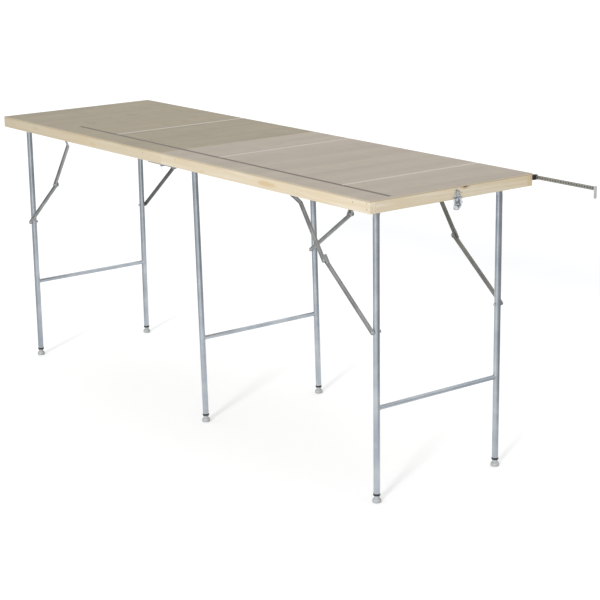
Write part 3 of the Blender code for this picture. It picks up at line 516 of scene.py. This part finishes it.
def makeFilm(settings):  # clear film, whiter and less clear along its creases
    finish = Finish("clear bag film")
    creasePlace = finish.stretched((70, 160, 90))
    creases = finish.noise(creasePlace, 1.0, detail=3, roughness=0.6, distortion=0.8)
    ridge = finish.level(abs(creases - 0.5), 0.0, 0.16, 1.0, 0.0)
    cloud = finish.noise(finish.place(), 45, detail=2)
    body = finish.blend(finish.level(cloud, 0.35, 0.65), settings["tone"], settings["shade"])
    cover = finish.level(ridge, 0.0, 1.0, settings["clear"], settings["creased"])
    rough = finish.level(cloud, 0.3, 0.7, settings["roughness"] - 0.05, settings["roughness"] + 0.08)
    relief = finish.bump(creases, strength=0.35, distance=0.0008)
    return finish.surface(Base_Color=body, Roughness=rough, Alpha=cover, Normal=relief)


def wear(node, material):
    item = nodes[node]
    item.data.materials.clear()
    item.data.materials.append(material)


zinc = makeMetal("zinc plated steel", metalSettings["zinc"])
fitting = makeMetal("zinc plated fittings", metalSettings["fitting"])
knuckleSteel = makeMetal("knuckle steel", metalSettings["knuckle"])
trackSteel = makeMetal("track steel", metalSettings["track"])
nailSteel = makeMetal("dull nail steel", metalSettings["nail"])
fittingBright = makeMetal("bright spare fittings", metalSettings["bright"])
film = makeFilm(filmSettings)
footPlastic = makePlastic("grey foot plastic", plasticSettings["foot"])
gripPlastic = makePlastic("grey grip plastic", plasticSettings["grip"])
blackPlastic = makePlastic("black plastic", plasticSettings["black"])
ruleSteel = makeRule("graduated rule", ruleSettings)

# the back braces, which get darker copies of the brace steel: painted shade
braceSteels = {"left_back": "shadedBrace", "right_back": "warmShadedBrace"}

linkSettings = {
    "half": 0.0061,          # half of a link's width
    "slack": 0.0001,         # past the half width by this, it is the stop clip
    "boltReach": 0.0044,     # radius of the bright bolt
    "bright": paint(198, 200, 198),
}


def linkEnds(link, settings):  # (x, z) of a lower link's bolt through the leg and of its knuckle
    low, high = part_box(link)
    half = settings["half"]
    ends = [(low.x + half, low.z + half), (high.x - half, high.z - half)]
    if link.startswith("right"):
        ends = [(high.x - half, low.z + half), (low.x + half, high.z - half)]
    return ends


def boltAndClip(link, settings):  # the bright places of a lower link
    bolt, knuckle = linkEnds(link, settings)
    length = math.dist(bolt, knuckle)
    alongX, alongZ = ((far - near) / length for near, far in zip(bolt, knuckle))

    def places(finish):
        x, _, z = finish.axes()
        across, up = x - bolt[0], z - bolt[1]
        onBolt = ((across ** 2 + up ** 2) ** 0.5).under(settings["boltReach"])
        besideLink = abs(across * alongZ - up * alongX).over(settings["half"] + settings["slack"])
        return (onBolt + besideLink).clipped()
    return places


# the brackets wear the same steel as these
fittingNames = ("saddle", "hinge", "bag_nail", "spare_fittings")
pineNames = [name for name in nodes if name.startswith(("rail_", "batten_"))]
for seed, name in enumerate(sorted(pineNames)):
    wear(name, makePine(name, pineSettings, pineKnots.get(name, ()), pinePaintedLight.get(name), seed * 0.83))
for seed, side in enumerate(("left", "right")):
    wear(f"board_{side}", makeBoard(f"board {side}", boardSettings[side], boardSettings, seed * 3.1))
for name in nodes:
    if name.endswith("_link"):
        steel = braceSteels.get(name.rsplit("_", 2)[0], "brace")
        bright = boltAndClip(name, linkSettings) if "lower" in name else None
        wear(name, makeMetal(f"brace steel {name}", metalSettings[steel], bright))
    elif name.endswith(("_leg_tube", "_stretcher")):
        wear(name, zinc)
    elif name.startswith(fittingNames) or name.endswith("_bracket"):
        wear(name, fitting)
    elif "_foot_" in name:
        wear(name, footPlastic)
wear("rule_track", trackSteel)
wear("rule_blade", ruleSteel)
wear("rule_tab", gripPlastic)
wear("rule_guide", blackPlastic)
print("finishes on the fixed pieces")


# Small pieces, built up in edit mode by extruding the top face of a disc

quarter = math.radians(90)


def choose(*items):  # only these are selected, and the first is active
    bpy.ops.object.select_all(action="DESELECT")
    for item in items:
        item.select_set(True)
    bpy.context.view_layer.objects.active = items[0]


def settle(item):  # leaves a piece at the origin with its place in its mesh
    choose(item)
    bpy.ops.object.transform_apply(location=True, rotation=True, scale=True)


def stack(name, sections, sides=32):  # each section is (x, y, z, half width in x, half width in y)
    bpy.ops.object.select_all(action="DESELECT")
    x, y, z, wide, deep = sections[0]
    bpy.ops.mesh.primitive_circle_add(vertices=sides, radius=1, fill_type="NGON", location=(x, y, z))
    item = bpy.context.object
    item.name = item.data.name = name
    item.scale = (wide, deep, 1)
    settle(item)
    bpy.ops.object.mode_set(mode="EDIT")
    bpy.ops.mesh.select_all(action="SELECT")
    for old, new in zip(sections, sections[1:]):
        step = [new[i] - old[i] for i in range(3)]
        bpy.ops.mesh.extrude_region_move(TRANSFORM_OT_translate={"value": step})
        bpy.ops.transform.resize(value=(new[3] / old[3], new[4] / old[4], 1), center_override=new[:3])
    bpy.ops.mesh.select_all(action="SELECT")
    bpy.ops.mesh.remove_doubles(threshold=0.000001)
    bpy.ops.mesh.normals_make_consistent(inside=False)
    bpy.ops.object.mode_set(mode="OBJECT")
    return item


def turned(name, profile, sides=32):  # profile: (radius, height) from the bottom up
    return stack(name, [(0, 0, height, radius, radius) for radius, height in profile], sides)


def smooth(item, angle=40):
    choose(item)
    bpy.ops.object.shade_smooth_by_angle(angle=math.radians(angle))


def putAt(item, place, turn=(0, 0, 0)):
    item.location = place
    item.rotation_euler = turn
    settle(item)
    return item


def copyOf(item, name):
    twin = item.copy()
    twin.data = item.data.copy()
    twin.name = twin.data.name = name
    bpy.context.collection.objects.link(twin)
    return twin


def merge(name, items):
    choose(*items)
    if len(items) > 1:
        bpy.ops.object.join()
    items[0].name = items[0].data.name = name
    return items[0]


def hand(item, material, slot, body, *replaced):  # gives a piece its finish and its place in the frame
    item.data.materials.clear()
    item.data.materials.append(material)
    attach(item, body)
    if replaced:
        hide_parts(*replaced)


def scatter(name, pattern, places, material, slot, body):  # many copies in one piece
    copies = [putAt(copyOf(pattern, f"{name}{i}"), *spot) for i, spot in enumerate(places)]
    hand(merge(name, copies), material, slot, body)


def discard(item):
    bpy.data.objects.remove(item)


# Feet

footSettings = {
    # (radius, height) from the floor up
    "base": [(0.0095, 0), (0.0115, 0.0003), (0.0127, 0.0016), (0.0131, 0.0040), (0.0130, 0.0066),
             (0.0122, 0.0094), (0.0103, 0.0117), (0.0086, 0.0128), (0.0079, 0.0140), (0.0078, 0.0206)],
    "ring": [(0.0092, 0.0203), (0.0101, 0.0206), (0.0104, 0.0215), (0.0104, 0.0253),
             (0.0101, 0.0262), (0.0096, 0.0265)],
    "sides": 40,
    "lean": {"left": 0, "middle": math.radians(1.7), "right": 0},
    "crossbar": 0.853,
    "tubeRadius": 0.0095,
}


def makeFeet(settings):
    base = turned("footBase", settings["base"], settings["sides"])
    ring = turned("footRing", settings["ring"], settings["sides"])
    smooth(base, 50)
    smooth(ring, 50)
    for frameName, lean in settings["lean"].items():
        for edge in ("front", "back"):
            node = f"{frameName}_foot_{edge}"
            low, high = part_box(node)
            place = Vector(((low.x + high.x) / 2, (low.y + high.y) / 2, low.z))
            if lean:  # down the leg from the middle of the crossbar
                height = settings["crossbar"]
                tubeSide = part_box(f"{frameName}_leg_tube")[0].x
                place.x = tubeSide + settings["tubeRadius"] + math.sin(lean) * height
                place.z = height - math.cos(lean) * height
            turn = (0, -lean, 0)
            foot = putAt(copyOf(base, f"{frameName}Foot{edge.title()}"), place, turn)
            hand(foot, footPlastic, "foot", f"{frameName}_leg", node)
            band = putAt(copyOf(ring, f"{frameName}FootRing{edge.title()}"), place, turn)
            hand(band, blackPlastic, "black", f"{frameName}_leg")
    discard(base)
    discard(ring)


# Rivets, screws, nails and welds

domeSettings = {
    # (radius, height) from the face that the head lies on
    "rivet": [(0.0084, 0), (0.0084, 0.0005), (0.0080, 0.0008), (0.0056, 0.0009), (0.0050, 0.0013),
              (0.0038, 0.0015), (0.0028, 0.0013), (0.0024, 0.0007), (0.0020, 0.0005)],
    "peened": [(0.0040, 0), (0.0040, 0.0004), (0.0037, 0.0010), (0.0028, 0.0014), (0.0018, 0.0013),
               (0.0012, 0.0008)],
    "screw": [(0.0034, 0), (0.0034, 0.0003), (0.0030, 0.0009), (0.0020, 0.0013), (0.0012, 0.0014),
              (0.0011, 0.0013), (0.0009, 0.0006)],
    "nail": [(0.0018, 0), (0.0018, 0.0002), (0.0015, 0.0004), (0.0008, 0.00045)],
    "sides": 28,
}

# which way along Y each brace's knuckle rivet points
braceOut = {"left_front": -1, "left_back": 1, "middle_back": -1, "right_front": -1, "right_back": 1}

knuckleSettings = {
    "depth": 0.006,      # of the lower link's channel
    "gap": 0.0004,       # between the two links
    "stub": 0.0040,      # of the rivet inside the upper link
}


def makeDome(name, settings):
    dome = turned(name, settings[name], settings["sides"])
    smooth(dome, 60)
    return dome


def makeRivets(settings):  # a broad head on the flat side, a small one inside the upper channel
    broad = makeDome("rivet", domeSettings)
    small = makeDome("peened", domeSettings)
    for brace, out in braceOut.items():
        low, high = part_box(f"{brace}_lower_link")
        x, z = linkEnds(f"{brace}_lower_link", linkSettings)[1]
        web = (high.y if out > 0 else low.y) - out * settings["depth"]
        end = web + out * (settings["depth"] + settings["gap"] + settings["stub"])
        turn = out * quarter
        inner = putAt(copyOf(broad, f"{brace}KnuckleInner"), (x, web, z), (turn, 0, 0))
        hand(inner, knuckleSteel, "zinc", f"{brace}_lower")
        outer = putAt(copyOf(small, f"{brace}KnuckleOuter"), (x, end, z), (-turn, 0, 0))
        hand(outer, fitting, "zinc", f"{brace}_upper")
    discard(broad)
    discard(small)


screwSettings = {
    "bracketAcross": 0.0105,     # either way from the bracket's middle
    "bracketFace": 0.2777,
    "bracketUp": 0.8527,
    "leafPlaces": (0.022, 0.042, 0.062),     # from the fold line
    "leafFace": 0.8387,
    "leafAcross": 0.290,
}


def makeScrews(settings):
    screw = makeDome("screw", domeSettings)
    places = {"left": [], "right": []}
    for brace in braceOut:
        side = "left" if brace.startswith("left") else "right"
        edge = -1 if brace.endswith("front") else 1
        low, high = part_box(f"{brace}_bracket")
        middle = (low.x + high.x) / 2
        face = edge * settings["bracketFace"] + planShift.y
        for shift in (-settings["bracketAcross"], settings["bracketAcross"]):
            spot = (middle + shift, face, settings["bracketUp"])
            places[side].append((spot, (edge * quarter, 0, 0)))
    for side, sign in (("left", -1), ("right", 1)):
        for edge in (-1, 1):
            for reach in settings["leafPlaces"]:
                spot = plan(sign * reach, edge * settings["leafAcross"], settings["leafFace"])
                places[side].append((spot, (2 * quarter, 0, 0)))
        scatter(f"{side}Screws", screw, places[side], fitting, "zinc", f"{side}_half")
    discard(screw)


nailSettings = {
    # places in plan along the front rail and up
    "right": [(0.0844, 0.8653), (0.9293, 0.8640), (0.9874, 0.8530), (0.9874, 0.8686)],
    "left": [(-0.1005, 0.8636), (-0.9874, 0.8530), (-0.9874, 0.8686), (-0.9300, 0.8560)],
    "face": -0.3,
}


def makeNails(settings):  # the heads of the nails that hold the rails' corners and inner rails
    nail = makeDome("nail", domeSettings)
    for side in ("left", "right"):
        spots = [(plan(x, settings["face"], z), (quarter, 0, 0)) for x, z in settings[side]]
        scatter(f"{side}RailNails", nail, spots, nailSteel, "zinc", f"{side}_half")
    discard(nail)


weldSettings = {
    "ring": 0.0072,
    "bead": 0.0015,
    "tube": 0.0095,          # radius of the leg tube
    "reach": 0.0085,         # the bead falls away with the tube's round side up to here
    "around": 40,
    "section": 8,
    "ripple": 0.00025,
    "ripples": 13,
    "phase": 40,             # shifts the ripples along from leg to leg
}


def makeWelds(settings):  # beads where a stretcher meets the tube, which follow its round side
    for frameName in ("left", "middle", "right"):
        low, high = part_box(f"{frameName}_stretcher")
        tubeLow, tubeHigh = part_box(f"{frameName}_leg_tube")
        beads = []
        for sign, legY in ((1, tubeLow.y + settings["tube"]), (-1, tubeHigh.y - settings["tube"])):
            bpy.ops.object.select_all(action="DESELECT")
            bpy.ops.mesh.primitive_torus_add(
                major_radius=settings["ring"], minor_radius=settings["bead"],
                major_segments=settings["around"], minor_segments=settings["section"],
            )
            bead = bpy.context.object
            for vertex in bead.data.vertices:
                turn = math.atan2(vertex.co.y, vertex.co.x)
                across = min(abs(vertex.co.x), settings["reach"])
                saddle = math.sqrt(max(settings["tube"] ** 2 - across ** 2, 0))
                wave = math.sin(turn * settings["ripples"] + legY * settings["phase"])
                vertex.co.z += saddle + settings["ripple"] * wave
            place = ((low.x + high.x) / 2, legY, (low.z + high.z) / 2)
            beads.append(putAt(bead, place, (-sign * quarter, 0, 0)))
        welds = merge(f"{frameName}Welds", beads)
        smooth(welds, 70)
        hand(welds, fitting, "zinc", f"{frameName}_leg")


# The bag on its nail and the fittings in it

bagSettings = {
    "nail": (1.0, 0.008, 0.8647),
    # (across, half width, half depth, below the nail)
    "film": [
        (0.0000, 0.0030, 0.0008, -0.0040), (0.0002, 0.0042, 0.0010, -0.0005),
        (0.0002, 0.0050, 0.0011, 0.0030), (0.0004, 0.0066, 0.0014, 0.0075),
        (0.0008, 0.0104, 0.0020, 0.0120), (0.0010, 0.0143, 0.0029, 0.0170),
        (0.0010, 0.0163, 0.0036, 0.0230), (0.0010, 0.0169, 0.0041, 0.0300),
        (0.0005, 0.0163, 0.0044, 0.0370), (-0.0006, 0.0148, 0.0043, 0.0430),
        (-0.0014, 0.0130, 0.0038, 0.0480), (-0.0018, 0.0092, 0.0028, 0.0515),
        (-0.0016, 0.0046, 0.0016, 0.0532),
    ],
    "sides": 48,
    "standoff": 0.0012,
    "crumple": 0.0011,
    "crumpleScale": (60, 150, 85),
    "crumpleNeck": (0.012, 0.15),        # the crumples grow down to here, from this share
    "pleats": (9, 0.016, 0.35),          # how many at the neck, down to where, how deep
    "clearance": 0.0004,     # between the film and the rail
    "wall": 0.00025,
}


def makeBag(settings, nail):
    sections = []
    for across, wide, deep, below in settings["film"]:
        out = nail.x + settings["standoff"] + deep
        sections.append((out, nail.y + across, nail.z - below, deep, wide))
    bag = stack("sparePartsBag", sections[::-1], settings["sides"])
    change = bag.modifiers.new("soft", "SUBSURF")
    change.levels = change.render_levels = 2
    bpy.ops.object.modifier_apply(modifier=change.name)
    neckEnd, neckShare = settings["crumpleNeck"]
    pleats, pleatsEnd, pleatsDepth = settings["pleats"]
    for vertex in bag.data.vertices:
        below = nail.z - vertex.co.z
        share = min(max(below / neckEnd, neckShare), 1)
        spot = Vector([value * scale for value, scale in zip(vertex.co, settings["crumpleScale"])])
        fold = mathutils.noise.noise(spot) + 0.5 * mathutils.noise.noise(spot * 2.6)
        around = math.atan2(vertex.co.x - nail.x, vertex.co.y - nail.y)
        gather = math.sin(around * pleats) * max(1 - below / pleatsEnd, 0)
        vertex.co += vertex.normal * (fold * share + pleatsDepth * gather) * settings["crumple"]
        vertex.co.x = max(vertex.co.x, nail.x + settings["clearance"])
    wall = bag.modifiers.new("film", "SOLIDIFY")
    wall.thickness = settings["wall"]
    bpy.ops.object.modifier_apply(modifier=wall.name)
    smooth(bag, 75)
    hand(bag, film, "clear", "bag", "parts_bag")


fittingSettings = {
    # kind, across, below the nail, outward, turn in the bag's plane in degrees
    "layout": [
        ("bolt", -0.0062, 0.0250, 0.0040, 12), ("bolt", 0.0040, 0.0235, 0.0046, -14),
        ("bolt", 0.0010, 0.0335, 0.0050, 76), ("bolt", 0.0075, 0.0330, 0.0040, 8),
        ("wing", -0.0030, 0.0385, 0.0042, -35), ("wing", 0.0050, 0.0430, 0.0044, 60),
        ("wing", 0.0020, 0.0175, 0.0034, 20), ("washer", -0.0050, 0.0300, 0.0058, 0),
        ("washer", 0.0072, 0.0400, 0.0056, 0),
    ],
    # (radius, height), and for an ear (out from the nut, up, half width, half thickness)
    "bolt": [(0.0036, -0.0085), (0.0036, -0.0060), (0.0018, -0.0059), (0.0018, 0.0078),
             (0.0014, 0.0085)],
    "boltSides": 12,
    "wing": [(0.0034, -0.0022), (0.0031, -0.0008), (0.0023, 0.0018), (0.0021, 0.0022)],
    "wingEar": [(0.0018, -0.0004, 0.0020, 0.0007), (0.0044, 0.0020, 0.0022, 0.0007),
                (0.0054, 0.0044, 0.0016, 0.0005)],
    "washer": [(0.0042, 0), (0.0042, 0.0008), (0.0020, 0.00085), (0.0018, 0.0002)],
    "sides": 24,
}


def makeWingNut(name, settings):
    parts = [turned(name, settings["wing"], settings["sides"])]
    for side in (-1, 1):
        ear = [(0, side * out, up, thin, wide) for out, up, wide, thin in settings["wingEar"]]
        parts.append(stack(f"{name}Ear", ear, settings["boltSides"]))
    return merge(name, parts)


def makeFittings(settings, nail):
    made = []
    for i, (kind, across, below, outward, turn) in enumerate(settings["layout"]):
        name = f"{kind}{i}"
        if kind == "wing":
            item = makeWingNut(name, settings)
        else:
            sides = settings["boltSides" if kind == "bolt" else "sides"]
            item = turned(name, settings[kind], sides)
        tilt = (0, quarter, 0) if kind == "washer" else (math.radians(180 + turn), 0, 0)
        made.append(putAt(item, (nail.x + outward, nail.y + across, nail.z - below), tilt))
    group = merge("sparePartsInBag", made)
    smooth(group, 40)
    hand(group, fittingBright, "zinc", "bag", "spare_fittings")


makeFeet(footSettings)
makeRivets(knuckleSettings)
makeScrews(screwSettings)
makeNails(nailSettings)
makeWelds(weldSettings)
nailPlace = plan(*bagSettings["nail"])
makeFittings(fittingSettings, nailPlace)
makeBag(bagSettings, nailPlace)
print("feet, rivets, screws, nails, welds and bag")
